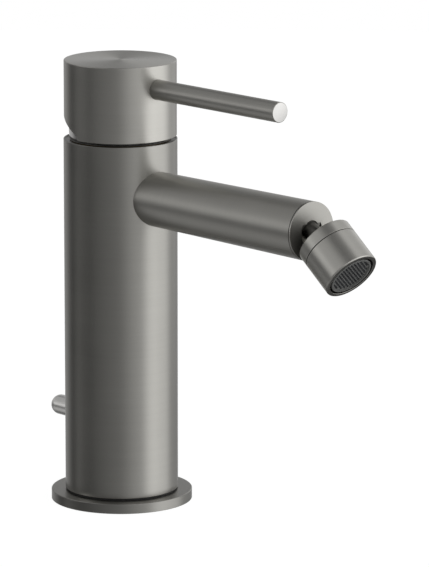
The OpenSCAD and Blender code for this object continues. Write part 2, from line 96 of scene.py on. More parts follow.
# Frames of the pieces, each with its own Z along the piece
UPRIGHT = Matrix.Identity(4)
AT_SPINDLE = leaning((0, 0, LIFT_Z), LIFT_ANGLE / 2)
AT_LEVER = leaning((0, 0, LEVER_Z), 90)
AT_SPOUT = leaning((0, 0, SPOUT_Z), 90)
AT_STEM = leaning(BALL, 90 + STEM_DROP)
AT_NOZZLE = leaning(BALL, 90 + STEM_DROP + NOZZLE_TIP)
AT_KNOB = leaning((0, 0, KNOB_Z), -90)

# Turn of the outlet's ribs about the nozzle, in degrees
RIB_TURN = 50
# Faces that meet at more than this angle, in degrees, keep a sharp edge
SHARP_ANGLE = 32
# A face whose normal has at least this much of an axis is square to it
SQUARE = 0.999
# An edge within this distance of a stated ring, in millimetres, belongs to it
NEAR = 0.02
# Edges shorter than this, in millimetres, are dust that a cut leaves
DUST = 0.0002

# Gunmetal of each piece against the body's: how much lighter, as painted light and shade, and how much
# rougher
# The lightness gives lit and shaded copies of one gunmetal; the ball stem's 0.4 is painted shade of its
# recess
TONES = {
    "base": (0.85, 0.0),
    "body": (1.0, 0.0),
    "cap": (1.25, 0.0),
    "lever": (1.25, 0.08),
    "spout": (1.3, 0.08),
    "ball": (0.4, 0.0),
    "nozzle": (1.42, 0.04),
    "small": (1.0, 0.0),
}
# Lightness of the flat ends against the gunmetal or, for the lever's tip, the bright metal: painted light on
# the lighter ends, and painted shade on the body's top ring, nearly black for the gap under the cap
END_TONES = {"body_rim": 0.1, "cap_top": 1.35, "lever_tip": 0.62, "spout_end": 1.15}


def length(name, description, millimetres):
    """A length that a user can change, kept in metres and written here in millimetres."""
    return FloatProperty(
        name=name, description=description, default=millimetres * MM, min=0, precision=5, unit="LENGTH"
    )


def colour(name, description, value):
    """A colour that a user can change, in linear light."""
    return FloatVectorProperty(
        name=name, description=description, default=value, min=0, max=1, size=3, subtype="COLOR"
    )


class MixerDetail(bpy.types.PropertyGroup):
    """How finely the pieces are turned."""

    steps: IntProperty(name="Turning steps", description="Faces round a turned piece", default=192, min=48)
    segments: IntProperty(name="Rounding steps", description="Faces across a rounded rim", default=3, min=1)


class MixerSizes(bpy.types.PropertyGroup):
    """Sizes that the frame's boxes don't give."""

    rim: length("Rim rounding", "Radius on the outer rims of the large pieces", 0.3)
    fine_rim: length("Fine rim rounding", "Radius on the rims beside a seam", 0.12)
    seal_groove: length("Seal groove", "Width of the deck seal's groove", 2.5)
    chamber: length("Chamber", "Radius of the body tube round the cartridge and the base block", 20)
    column: length("Column", "Radius of the body tube between them", 19)
    lip: length("Body lip", "Width of the body's top edge", 0.6)
    lip_step: length("Lip step", "How far the rest of the body's top lies below its edge", 0.4)
    spigot: length("Spigot", "Radius of the spout's spigot in the body", 8)
    spigot_bore: length("Spigot bore", "Radius of the bore through the spigot", 6.2)
    bush: length("Bush", "Radius of the knob's bush in the body", 6)
    cap_wall: length("Cap wall", "Wall of the handle cap", 1.4)
    hub: length("Hub", "Radius of the hub inside the cap", 7.5)
    hub_low: length("Hub start", "Distance of the hub from the spindle's pivot", 6.5)
    spindle: length("Spindle", "Side of the spindle's square head", 7)
    socket: length("Socket", "Distance of the socket's end from the spindle's pivot", 20.3)
    dome: length("Dome", "Radius of the sphere that the cover dome is cut from", 20.4)
    dome_wall: length("Dome wall", "Wall of the cover dome", 1.4)
    dome_foot: length("Dome foot", "Width of the cover dome's foot", 2.7)
    lever: length("Lever", "Radius of the lever", 4)
    lever_stud: length("Lever stud", "Radius of the lever's screwed end", 2.5)
    lever_seat: length("Lever seat", "How deep the lever stands in the cap", 2)
    spout: length("Spout", "Radius of the spout tube at its end", 11.5)
    spout_root: length("Spout root", "Radius of the spout tube at the body", 10.85)
    spout_wall: length("Spout wall", "Wall of the spout tube at its end", 2.1)
    stem: length("Stem", "Radius of the ball's stem in the end plug", 4)
    stem_neck: length("Stem neck", "Radius of the stem beside the ball", 3.4)
    stem_bore: length("Stem bore", "Radius of the water's way through stem and ball", 2.2)
    stem_sink: length("Stem sink", "Depth of the round recess about the stem", 1.2)
    ball: length("Ball", "Radius of the ball that the nozzle turns on", 6.5)
    nozzle: length("Nozzle", "Radius of the outlet nozzle", 11.2)
    collar: length("Collar", "Length of the nozzle's collar", 5.16)
    housing: length("Housing", "Length of the nozzle's housing", 14.44)
    mouth_rim: length("Mouth rounding", "Radius on the outer rim of the nozzle's mouth", 0.5)
    mouth_wall: length("Mouth wall", "Wall of the housing at the nozzle's mouth", 1.6)
    seam: length("Seam", "Width of the dark seams of the spout's plug and the nozzle", 0.35)
    rib: length("Rib", "Width of a rib of the outlet insert", 0.34)
    rib_pitch: length("Rib spacing", "Distance from one rib of the outlet insert to the next", 1.2)
    knob: length("Knob", "Radius of the pop-up knob", 4)
    arm: length("Arm", "Radius of the arm that the knob is pushed on", 2)
    arm_deep: length("Arm depth", "How deep the arm stands in the knob", 9)


class MixerColours(bpy.types.PropertyGroup):
    """Colours and gloss of the finishes."""

    gunmetal: colour("Gunmetal", "Satin metal of the outside pieces", (0.332, 0.326, 0.306))
    polished: colour("Polished metal", "Smooth turned metal of the cover dome", (0.76, 0.75, 0.73))
    bright: colour("Bright metal", "Metal of the pop-up knob and the lever's end", (0.88, 0.87, 0.85))
    brass: colour("Brass", "Machined brass of the inner pieces", (0.66, 0.47, 0.22))
    steel: colour("Steel", "Machined steel of pins, spindle and arm", (0.55, 0.55, 0.56))
    white_plastic: colour("Cartridge plastic", "Moulded plastic of the cartridge", (0.72, 0.71, 0.68))
    dark_plastic: colour("Dark plastic", "Moulded plastic of the aerator", (0.045, 0.046, 0.048))
    # The ribs' colour is a painted highlight on the outlet insert's front edges
    ribs: colour("Outlet ribs", "Front edges of the outlet insert", (0.17, 0.172, 0.166))
    ceramic: colour("Ceramic", "Lapped ceramic of the discs", (0.82, 0.80, 0.74))
    rubber: colour("Rubber", "Seals and rings", (0.02, 0.02, 0.021))
    metal_roughness: FloatProperty(
        name="Satin roughness", description="Roughness of the satin metal", default=0.3, min=0.05, max=1
    )
    brushing: FloatProperty(
        name="End brushing", description="How far turning marks on end faces draw reflections out",
        default=0.8, min=0, max=1,
    )


class MixerStage(bpy.types.PropertyGroup):
    """The camera that matches the photograph, and the floor."""

    eye: FloatVectorProperty(
        name="Camera place", description="Where the camera stands", default=(-1.2524, -1.42613, 0.48833),
        size=3, subtype="TRANSLATION", unit="LENGTH",
    )
    yaw: FloatProperty(
        name="Yaw", description="Turn of the camera about the upright", default=math.radians(-42.409),
        subtype="ANGLE", unit="ROTATION",
    )
    pitch: FloatProperty(
        name="Pitch", description="How far the camera looks down", default=math.radians(11.935),
        subtype="ANGLE", unit="ROTATION",
    )
    lens: FloatProperty(name="Lens", description="Focal length in millimetres", default=310.1, min=10)
    floor: length("Floor", "Radius of the floor", 1200)


# Shader maths


class Value:
    """A number that changes over a surface, so that shader maths reads as Python."""

    def __init__(self, finish, socket):
        self.finish = finish
        self.socket = socket

    def maths(self, operation, *operands):
        """The result of one Math node."""
        return self.finish.add("ShaderNodeMath", {"operation": operation}, dict(enumerate(operands)))["Value"]

    def __add__(self, other):
        return self.maths("ADD", self, other)

    def __sub__(self, other):
        return self.maths("SUBTRACT", self, other)

    def __rsub__(self, other):
        return self.maths("SUBTRACT", other, self)

    def __mul__(self, other):
        return self.maths("MULTIPLY", self, other)

    def __pow__(self, other):
        return self.maths("POWER", self, other)

    def smooth(self, start, end):
        """0 below start and 1 above end, with an eased change between them."""
        settings = {"interpolation_type": "SMOOTHSTEP"}
        return self.finish.add("ShaderNodeMapRange", settings, {0: self, 1: start, 2: end})["Result"]

    __radd__ = __add__
    __rmul__ = __mul__


class Made:
    """A node that was added, whose outputs are read by name."""

    def __init__(self, finish, node):
        self.finish = finish
        self.node = node

    def __getitem__(self, output):
        return Value(self.finish, self.node.outputs[output])


class Finish:
    """The node tree of one material or of the world, while it is being put together."""

    def __init__(self, owner):
        owner.use_nodes = True
        self.owner = owner
        self.tree = owner.node_tree
        self.tree.nodes.clear()

    def add(self, kind, settings=None, values=None):
        """Adds a node, sets it, and gives its sockets their values or links."""
        node = self.tree.nodes.new(kind)
        for name, setting in (settings or {}).items():
            setattr(node, name, setting)
        for name, value in (values or {}).items():
            socket = node.inputs[name]
            if isinstance(value, Value):
                self.tree.links.new(value.socket, socket)
            elif isinstance(value, (int, float)):
                socket.default_value = value
            else:
                # A colour gets the full alpha that its socket asks for
                whole = len(socket.default_value)
                socket.default_value = (*value, 1)[:whole] if len(value) < whole else value
        return Made(self, node)

    def place(self, at=UPRIGHT):
        """A point of the surface in the frame of a piece, in metres."""
        back = at.inverted()
        point = self.add("ShaderNodeTexCoord")["Object"]
        values = {"Vector": point, "Location": back.to_translation() * MM, "Rotation": back.to_euler()}
        return self.add("ShaderNodeMapping", {"vector_type": "POINT"}, values)["Vector"]

    def split(self, vector):
        """The three parts of a vector."""
        parts = self.add("ShaderNodeSeparateXYZ", None, {0: vector})
        return parts["X"], parts["Y"], parts["Z"]

    def join(self, x, y, z):
        """A vector from its three parts."""
        return self.add("ShaderNodeCombineXYZ", None, {0: x, 1: y, 2: z})["Vector"]

    def noise(self, vector, scale=1.0, detail=2.0, roughness=0.5):
        """A noise from 0 to 1."""
        values = {"Vector": vector, "Scale": scale, "Detail": detail, "Roughness": roughness}
        return self.add("ShaderNodeTexNoise", None, values)["Fac"]

    def blend(self, amount, first, second):
        """A colour between two colours, which a Mix node takes at its places 6 and 7 and gives at 2."""
        return self.add("ShaderNodeMix", {"data_type": "RGBA"}, {0: amount, 6: first, 7: second})[2]

    def bump(self, height, strength, distance=0.00002):
        """A normal that follows a height."""
        values = {"Strength": strength, "Distance": distance, "Height": height}
        return self.add("ShaderNodeBump", None, values)["Normal"]

    def principled(self, values):
        """Ends a material's tree in the Principled shader, and gives the material."""
        self.surface(self.add("ShaderNodeBsdfPrincipled", None, values)["BSDF"])
        return self.owner

    def surface(self, shader):
        """Ends the tree in a shader."""
        world = isinstance(self.owner, bpy.types.World)
        kind = "ShaderNodeOutputWorld" if world else "ShaderNodeOutputMaterial"
        self.add(kind, None, {"Surface": shader})


# Finishes


def shade(base, factor):
    """A colour made lighter or darker."""
    return tuple(min(1.0, part * factor) for part in base)


def brushed(name, at, base, roughness, brushing, grain=1.0):
    """Metal brushed round the axis of a piece: fine rings on its side and on its end faces."""
    finish = Finish(bpy.data.materials.new(name))
    x, y, z = finish.split(finish.place(at))
    ring = z + (x**2 + y**2) ** 0.5

    def marks(along, across, finer):
        """Turning marks, with so many changes per metre along each ring and across the rings."""
        stretched = finish.join(x * along, y * along, ring * across)
        return finish.noise(stretched, detail=3, roughness=finer)

    lines = marks(90, 7000, 0.65)
    bands = marks(14, 800, 0.6)
    cloud = finish.noise(finish.join(x * 40, y * 40, z * 40), detail=2)
    tone = lines * 0.35 + bands * 0.25 + cloud * 0.4
    swing = 0.05 * grain
    return finish.principled({
        "Base Color": finish.blend(tone.smooth(0.25, 0.75), shade(base, 1 - swing), shade(base, 1 + swing)),
        "Metallic": 1.0,
        "Roughness": (lines - 0.5) * (0.08 * grain) + (cloud - 0.5) * swing + roughness,
        "Anisotropic": brushing,
        "Anisotropic Rotation": 0.25,
        "Normal": finish.bump(lines * 0.8 + bands * 0.2, 0.04 * grain),
    })


def skin(finish, point):
    """The fine uneven skin of a moulded piece."""
    return finish.noise(point, scale=2600, detail=3, roughness=0.6)


def moulded(name, base, roughness, speckle, coat=0.0):
    """Moulded plastic, ceramic or rubber."""
    finish = Finish(bpy.data.materials.new(name))
    point = finish.place()
    grain = skin(finish, point)
    patches = finish.noise(point, scale=160, detail=2)
    return finish.principled({
        "Base Color": finish.blend(patches, shade(base, 1 - speckle), shade(base, 1 + speckle)),
        "Metallic": 0.0,
        "Roughness": (grain - 0.5) * 0.16 + (patches - 0.5) * 0.1 + roughness,
        "Coat Weight": coat,
        "Coat Roughness": 0.1,
        "Normal": finish.bump(grain, 0.25),
    })


def ribbed(name, at, front):
    """Dark moulded plastic of the outlet insert, with painted light: its slots lifted against their shade,
    and a painted highlight on the ribs and the rim at its front.
    """
    colours = bpy.context.scene.mixer_colours
    finish = Finish(bpy.data.materials.new(name))
    point = finish.place(at)
    grain = skin(finish, point)
    raised = finish.split(point)[2].smooth((front - 0.3) * MM, (front - 0.05) * MM)
    return finish.principled({
        # The slots' plastic is lifted 2.4 times as painted light in their shade, and the raised fronts take
        # the ribs' painted highlight
        "Base Color": finish.blend(raised, shade(colours.dark_plastic, 2.4), colours.ribs),
        "Metallic": 0.0,
        "Roughness": (grain - 0.5) * 0.16 + 0.36,
        "Normal": finish.bump(grain, 0.25),
    })


def gunmetal(piece, at):
    """The satin outside finish of a piece, turned about the piece's own axis."""
    colours = bpy.context.scene.mixer_colours
    lighter, rougher = TONES[piece]
    # The piece's lightness from TONES paints light and shade into the gunmetal's colour
    base = shade(colours.gunmetal, lighter)
    return brushed(f"gunmetal_{piece}", at, base, colours.metal_roughness + rougher, 0.0)


def end_face(name, at, base):
    """The finish of a piece's flat ends, whose turning marks spread a reflection to both sides."""
    colours = bpy.context.scene.mixer_colours
    # The end's lightness from END_TONES is painted light, or painted shade on the body's top ring
    tone = shade(base, END_TONES[name])
    return brushed(name, at, tone, colours.metal_roughness, colours.brushing, grain=1.5)


# Making pieces


def sizes():
    """The user's sizes in millimetres."""
    group = bpy.context.scene.mixer_sizes
    return SimpleNamespace(**{name: getattr(group, name) / MM for name in group.__annotations__})


def arc(radius, start, end, steps, height=0.0):
    """Points of a profile on a sphere about the axis, between two angles above its middle in degrees."""
    angles = [math.radians(start + (end - start) * step / steps) for step in range(steps + 1)]
    return [(radius * math.cos(angle), height + radius * math.sin(angle)) for angle in angles]


def latitude(radius, height):
    """The angle above a sphere's middle at which its surface has a given height, in degrees."""
    return math.degrees(math.asin(height / radius))


def turn(profile):
    """Spins a closed profile of (radius, height) points, in millimetres, into a solid."""
    bm = bmesh.new()
    steps = bpy.context.scene.mixer_detail.steps
    verts = [bm.verts.new((max(radius, 0.0), 0, height)) for radius, height in profile]
    on_axis = profile[0][0] == 0 and profile[-1][0] == 0
    pairs = zip(verts, verts[1:] if on_axis else verts[1:] + verts[:1])
    edges = [bm.edges.new(pair) for pair in pairs]
    bmesh.ops.spin(
        bm, geom=verts + edges, axis=(0, 0, 1), cent=(0, 0, 0), angle=math.tau, steps=steps, use_merge=True
    )
    bmesh.ops.remove_doubles(bm, verts=bm.verts, dist=1e-5)
    bmesh.ops.dissolve_degenerate(bm, edges=bm.edges, dist=1e-6)
    bmesh.ops.recalc_face_normals(bm, faces=bm.faces)
    return bm


def soften(bm, width, *rings):
    """Rounds the sharp rings of a turned solid that lie at the given (radius, height) places."""
    edges = []
    for edge in bm.edges:
        first, second = (Vector((vert.co.xy.length, vert.co.z)) for vert in edge.verts)
        level = (first - second).length < 1e-4
        if level and any(((first + second) / 2 - Vector(ring)).length < NEAR for ring in rings):
            edges.append(edge)
    if not edges:
        raise RuntimeError(f"no ring to round at {rings}")
    bmesh.ops.bevel(
        bm, geom=edges, offset=width, offset_type="OFFSET", segments=bpy.context.scene.mixer_detail.segments,
        profile=0.5, affect="EDGES", clamp_overlap=True, material=-1,
    )
    return bm


def rod(radius, start, end, at=UPRIGHT):
    """A turned bar between two heights, put in a frame."""
    bm = turn([(0, start), (radius, start), (radius, end), (0, end)])
    bm.transform(at)
    return bm


def triangles(bm):
    """Splits a mesh into triangles, without which a cut across the round tube leaves open edges."""
    bmesh.ops.triangulate(bm, faces=bm.faces)
    return bm


def blocks(places, at=UPRIGHT):
    """Blocks, each given by its lowest corner and its extent, put in a frame."""
    bm = bmesh.new()
    for corner, extent in places:
        verts = bmesh.ops.create_cube(bm, size=1)["verts"]
        bmesh.ops.scale(bm, vec=extent, verts=verts)
        bmesh.ops.translate(bm, vec=Vector(corner) + Vector(extent) / 2, verts=verts)
    bm.transform(at)
    return bm


def loose(bm, name="tool"):
    """An object in the scene from a mesh that is still in millimetres."""
    mesh = bpy.data.meshes.new(name)
    bm.to_mesh(mesh)
    bm.free()
    shape = bpy.data.objects.new(name, mesh)
    bpy.context.scene.collection.objects.link(shape)
    return shape


def settle(shape, kind, **settings):
    """Adds a modifier to a shape and makes its result the mesh."""
    modifier = shape.modifiers.new(kind, kind)
    for name, setting in settings.items():
        setattr(modifier, name, setting)
    bpy.context.view_layer.update()
    result = bpy.data.meshes.new_from_object(shape.evaluated_get(bpy.context.evaluated_depsgraph_get()))
    shape.modifiers.clear()
    old, shape.data = shape.data, result
    bpy.data.meshes.remove(old)


def carve(shape, *tools):
    """Cuts tools, given as meshes or objects, out of a shape."""
    for tool in tools:
        if not isinstance(tool, bpy.types.Object):
            tool = loose(tool)
        settle(shape, "BOOLEAN", object=tool, operation="DIFFERENCE", solver="EXACT")
        bpy.data.objects.remove(tool)
    bm = bmesh.new()
    bm.from_mesh(shape.data)
    bmesh.ops.dissolve_degenerate(bm, dist=DUST, edges=bm.edges)
    bm.to_mesh(shape.data)
    bm.free()
    return shape


def finish_piece(shape, name, material, body, node, at=UPRIGHT, ends=None):
    """Makes a shape a piece in its place, with its shading, finish and body, and hides the node it stands
    for.
    """
    shape.data.transform(Matrix.Scale(MM, 4) @ at)
    shape.data.polygons.foreach_set("use_smooth", [True] * len(shape.data.polygons))
    shape.data.set_sharp_from_angle(angle=math.radians(SHARP_ANGLE))
    settle(shape, "WEIGHTED_NORMAL", keep_sharp=True, mode="FACE_AREA", weight=50)
    shape.name = shape.data.name = name
    shape.data.materials.clear()
    shape.data.materials.append(material)
    if ends:
        # Flat faces square to the piece's own axis take the finish of its ends
        finish, axis = ends
        shape.data.materials.append(finish)
        for face in shape.data.polygons:
            face.material_index = int(abs(face.normal.dot(axis)) > SQUARE)
    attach(shape, body)
    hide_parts(node)
    return shape


# Pieces


class MIXER_OT_base(bpy.types.Operator):
    """Build the base flange with its rounded rim and its groove for the deck seal"""

    bl_idname = "mixer.base"
    bl_label = "Base Flange"

    def execute(self, context):
        size = sizes()
        radius, top, bore = high("base_flange").x, high("base_flange").z, size.column + FIT
        outer, groove = high("deck_seal").x + FIT, high("deck_seal").z + FIT
        inner = outer - size.seal_groove
        bm = turn([
            (bore, 0), (inner, 0), (inner, groove), (outer, groove), (outer, 0), (radius, 0), (radius, top),
            (bore, top),
        ])
        soften(bm, size.rim, (radius, top))
        soften(bm, size.fine_rim, (radius, 0))
        finish_piece(loose(bm), "flange_shell", gunmetal("base", UPRIGHT), "body", "base_flange")
        return {"FINISHED"}


class MIXER_OT_body(bpy.types.Operator):
    """Build the body tube with its rounded rims and its holes for the spout and the knob's bush"""

    bl_idname = "mixer.body"
    bl_label = "Body Tube"

    def execute(self, context):
        size = sizes()
        radius, bottom, top = high("mixer_body").x, low("mixer_body").z, high("mixer_body").z
        wide, narrow = size.chamber, size.column
        seat, block_top = low("cartridge_seat").z, high("base_block").z
        edge, step = radius - size.lip, top - size.lip_step
        bm = turn([
            (wide, bottom), (radius, bottom), (radius, top), (edge, top), (edge, step), (wide, step),
            (wide, seat), (narrow, seat), (narrow, block_top), (wide, block_top),
        ])
        soften(bm, size.rim, (radius, bottom))
        soften(bm, size.fine_rim, (radius, top))
        # Both drills start inside the tube and end outside it
        inside, outside = narrow - 4, radius + 1
        shape = carve(
            loose(bm),
            rod(size.spigot + FIT, inside, outside, AT_SPOUT),
            rod(size.bush + FIT, inside, outside, AT_KNOB),
        )
        # The body's top ring is painted nearly black: painted shade of the gap under the cap
        rim = end_face("body_rim", UPRIGHT, context.scene.mixer_colours.gunmetal)
        finish_piece(
            shape, "body_shell", gunmetal("body", UPRIGHT), "body", "mixer_body",
            ends=(rim, Vector((0, 0, 1))),
        )
        return {"FINISHED"}


def rear_cut(radius, bottom):
    """The wedge that is cut from the cap's rear so that it can tilt: slanted, behind an upright step."""
    spare_angle, slant_start = 1.2, -3
    at = leaning((0, slant_start, bottom), LIFT_ANGLE + spare_angle)
    wedge = blocks([((-radius - 1, 0, -radius), (2 * radius + 2, 2 * radius, radius))], at)
    bmesh.ops.bisect_plane(
        wedge, geom=wedge.verts[:] + wedge.edges[:] + wedge.faces[:], plane_co=(0, 0, 0),
        plane_no=(0, -1, 0), clear_outer=True,
    )
    bmesh.ops.holes_fill(wedge, edges=wedge.edges)
    return wedge


class MIXER_OT_cap(bpy.types.Operator):
    """Build the handle cap: a turned cup with a round hollow, a hub for the spindle and a cut at its rear"""

    bl_idname = "mixer.cap"
    bl_label = "Handle Cap"

    def execute(self, context):
        size = sizes()
        radius, bottom, top = high("handle_cap").x, low("handle_cap").z, high("handle_cap").z
        bm = turn([(0, bottom), (radius, bottom), (radius, top), (0, top)])
        soften(bm, size.rim, (radius, top))
        soften(bm, size.fine_rim, (radius, bottom))

        hollow = radius - size.cap_wall
        cavity = loose(turn([
            (0, bottom - 1), (hollow, bottom - 1), *arc(hollow, 0, 90, 32, LIFT_Z)[:-1],
            (0, LIFT_Z + hollow),
        ]))
        hub_sink = 4
        carve(cavity, rod(size.hub, size.hub_low, hollow + hub_sink, AT_SPINDLE))
        half, start = size.spindle / 2 + RUN, size.hub_low - 1
        socket = blocks([((-half, -half, start), (2 * half, 2 * half, size.socket - start))], AT_SPINDLE)
        # The stud's hole also holds the grub screw, which stands behind the stud
        stud_end, grub_room = -high("lever_pin").y, 6
        shape = carve(
            loose(bm),
            cavity,
            socket,
            rear_cut(radius, bottom),
            rod(size.lever_stud + FIT, stud_end - grub_room, radius, AT_LEVER),
            rod(size.lever + RUN, radius - size.lever_seat, radius + 1, AT_LEVER),
        )
        # The cap's top is painted lighter than its side: painted light on the flat top
        top_face = end_face("cap_top", UPRIGHT, context.scene.mixer_colours.gunmetal)
        finish_piece(
            shape, "cap_shell", gunmetal("cap", UPRIGHT), "handle", "handle_cap",
            ends=(top_face, Vector((0, 0, 1))),
        )
        return {"FINISHED"}


class MIXER_OT_dome(bpy.types.Operator):
    """Build the bright cover dome under the cap"""

    bl_idname = "mixer.dome"
    bl_label = "Cover Dome"

    def execute(self, context):
        size = sizes()
        outer, inner = size.dome, size.dome - size.dome_wall
        bottom, top = low("cover_dome").z - LIFT_Z, high("cover_dome").z - LIFT_Z
        foot, ledge = outer - size.dome_foot, 1
        bm = turn([
            (foot, LIFT_Z + bottom),
            *arc(outer, latitude(outer, bottom), latitude(outer, top), 24, LIFT_Z),
            *arc(inner, latitude(inner, top), latitude(inner, ledge), 20, LIFT_Z),
            (foot, LIFT_Z + ledge),
        ])
        base = context.scene.mixer_colours.polished
        polished = brushed("polished_dome", UPRIGHT, base, 0.2, 0.0, grain=0.5)
        finish_piece(loose(bm), "dome_shell", polished, "body", "cover_dome")
        return {"FINISHED"}


class MIXER_OT_lever(bpy.types.Operator):
    """Build the lever with its screwed end and its rounded tip"""

    bl_idname = "mixer.lever"
    bl_label = "Lever"

    def execute(self, context):
        size = sizes()
        start, end, radius = -high("lever_pin").y, -low("lever_pin").y, size.lever
        stud, shoulder = size.lever_stud, high("handle_cap").x - size.lever_seat + FIT
        bm = turn([(0, start), (stud, start), (stud, shoulder), (radius, shoulder), (radius, end), (0, end)])
        soften(bm, size.rim, (radius, end))
        # The lever's tip is painted lighter than its side: painted light on the flat end
        tip = end_face("lever_tip", AT_LEVER, context.scene.mixer_colours.bright)
        lever = finish_piece(
            loose(bm), "lever_shell", gunmetal("lever", AT_LEVER), "handle", "lever_pin",
            AT_LEVER, ends=(tip, Vector((0, 1, 0))),
        )
        # The tip's turning marks run square to X, and a far-off texture space says so to the shader
        lever.data.use_auto_texspace = False
        lever.data.texspace_location = (0, 10, 0)
        lever.data.texspace_size = (10, 1, 1)
        return {"FINISHED"}


class MIXER_OT_spout(bpy.types.Operator):
    """Build the spout tube, fitted to the round body, and the plug that closes its end"""

    bl_idname = "mixer.spout"
    bl_label = "Spout"

    def execute(self, context):
        size = sizes()
        metal = gunmetal("spout", AT_SPOUT)
        radius, root, narrow = size.spout, size.spout_root, size.spigot_bore
        bore = radius - size.spout_wall
        body, end = high("mixer_body").x, -low("spout_tube").y
        start, shelf = body - 8, body + 4
        tube = loose(triangles(turn([
            (narrow, start), (root, start), (root, body), (radius, end), (bore, end), (bore, shelf),
            (narrow, shelf),
        ])))
        tube.data.transform(AT_SPOUT)
        # The body's round side and its chamber are cut out of the tube, and the spigot is left
        below, above = SPOUT_Z - radius - 1, SPOUT_Z + radius + 1
        side = loose(triangles(rod(body + FIT, below, above)))
        carve(side, triangles(rod(size.spigot, 0, body + 1, AT_SPOUT)))
        carve(tube, side, triangles(rod(size.chamber, below, above)))
        finish_piece(tube, "spout_shell", metal, "body", "spout_tube")

        face, tip, inner = end + size.seam, -low("spout_end_plug").y, bore - FIT
        back, groove, groove_back, groove_front = face - 10, bore - 1.4, face - 7, face - 5.4
        bm = turn([
            (0, back), (inner, back), (inner, groove_back), (groove, groove_back), (groove, groove_front),
            (inner, groove_front), (inner, face), (radius, face), (radius, tip), (0, tip),
        ])
        soften(bm, size.fine_rim, (radius, tip))
        bm.transform(AT_SPOUT)
        # The stem's hole runs through the whole plug, and its wider recess lies at the front
        recess, behind, before = size.stem + 1.4, -BALL_OUT - 17, -BALL_OUT + 6
        plug = carve(
            loose(bm),
            rod(size.stem + FIT, behind, before, AT_STEM),
            rod(recess, -BALL_OUT - size.stem_sink, before, AT_STEM),
        )
        # The plug's face is painted lighter than the tube: painted light on the flat end
        tone = shade(context.scene.mixer_colours.gunmetal, END_TONES["spout_end"])
        front = brushed("spout_end", AT_SPOUT, tone, 0.42, 0.0, grain=1.5)
        finish_piece(
            plug, "spout_face", metal, "body", "spout_end_plug", ends=(front, Vector((0, 1, 0)))
        )
        return {"FINISHED"}


class MIXER_OT_ball(bpy.types.Operator):
    """Build the ball on its stem, bored through for the water"""

    bl_idname = "mixer.ball"
    bl_label = "Ball Stem"

    def execute(self, context):
        size = sizes()
        ball, bore, neck, stem = size.ball, size.stem_bore, size.stem_neck, size.stem
        foot, shoulder = -BALL_OUT - 9.5, -BALL_OUT - size.stem_sink
        start, end = -math.degrees(math.acos(neck / ball)), math.degrees(math.acos(bore / ball))
        bm = turn([
            (bore, foot), (stem, foot), (stem, shoulder), (neck, shoulder), *arc(ball, start, end, 36),
        ])
        # The ball and stem are painted dark: painted shade of the recess about the stem
        finish_piece(
            loose(bm), "ball_shell", gunmetal("ball", AT_STEM), "body", "ball_stem", AT_STEM
        )
        return {"FINISHED"}


def nozzle_places(size):
    """Heights of the nozzle's steps along its axis from the ball's middle, and radii inside it."""
    back, seal_t, web_t, washer_t, spigot_wall = -2.46, 2.35, 2.4, 1.5, 1.5
    front = back + size.collar
    seal = size.ball * 0.56
    web = seal + seal_t + FIT
    chamber = web + web_t
    return SimpleNamespace(
        back=back, front=front, seal=seal, web=web, chamber=chamber, insert=chamber + washer_t,
        mouth=front + size.housing, spigot=size.nozzle - spigot_wall, bore=size.nozzle - size.mouth_wall,
    )


class MIXER_OT_nozzle(bpy.types.Operator):
    """Build the outlet nozzle: the collar that holds the ball and the housing with its rounded mouth"""

    bl_idname = "mixer.nozzle"
    bl_label = "Outlet Nozzle"

    def execute(self, context):
        size = sizes()
        at = nozzle_places(size)
        metal = gunmetal("nozzle", AT_NOZZLE)
        radius, slip_ring = size.nozzle, 0.8
        cup = size.ball + slip_ring + 2 * RUN
        seal_r, seal_back, spigot_end = radius - 3.5 + FIT, at.seal - 0.05, at.web - 0.6
        bm = turn([
            (math.sqrt(cup**2 - at.back**2), at.back), (radius - 1, at.back), (radius - 0.8, at.back + 0.08),
            (radius - 0.1, at.back + 0.56), (radius, at.back + 0.71), (radius, at.front),
            (at.spigot, at.front), (at.spigot, spigot_end), (seal_r, spigot_end), (seal_r, seal_back),
            *arc(cup, latitude(cup, seal_back), latitude(cup, at.back), 30)[:-1],
        ])
        soften(bm, size.fine_rim, (radius, at.front))
        finish_piece(loose(bm), "collar_shell", metal, "nozzle", "nozzle_collar", AT_NOZZLE)

        seam, spigot, outlet = at.front + size.seam, at.spigot + FIT, size.stem
        bm = turn([
            (spigot, seam), (radius, seam), (radius, at.mouth), (at.bore, at.mouth), (at.bore, at.chamber),
            (outlet, at.chamber), (outlet, at.web), (spigot, at.web),
        ])
        soften(bm, size.mouth_rim, (radius, at.mouth))
        soften(bm, size.fine_rim, (at.bore, at.mouth))
        finish_piece(loose(bm), "housing_shell", metal, "nozzle", "nozzle_housing", AT_NOZZLE)
        return {"FINISHED"}


def grille_cuts(pitch, slot, reach, front, back):
    """The slots between the outlet's ribs, and the small openings through its plate, in staggered rows."""
    deep, wide, tall, margin, overlap = 0.5, 0.4, 0.72, 0.4, 0.1
    slots, openings = [], []
    rows = int(reach / pitch)
    for row in range(-rows, rows + 1):
        x = row * pitch
        half = math.sqrt(max(0.0, reach**2 - (abs(x) + slot / 2) ** 2))
        if half < pitch:
            continue
        slots.append(((x - slot / 2, -half, front - deep), (slot, 2 * half, 2 * deep)))
        for step in range(-rows - 1, rows + 2):
            y = (step + row % 2 / 2) * pitch
            if abs(y) + margin < half:
                corner = (x - wide / 2, y - tall / 2, back - deep)
                openings.append((corner, (wide, tall, front - back + overlap)))
    return blocks(slots), blocks(openings)


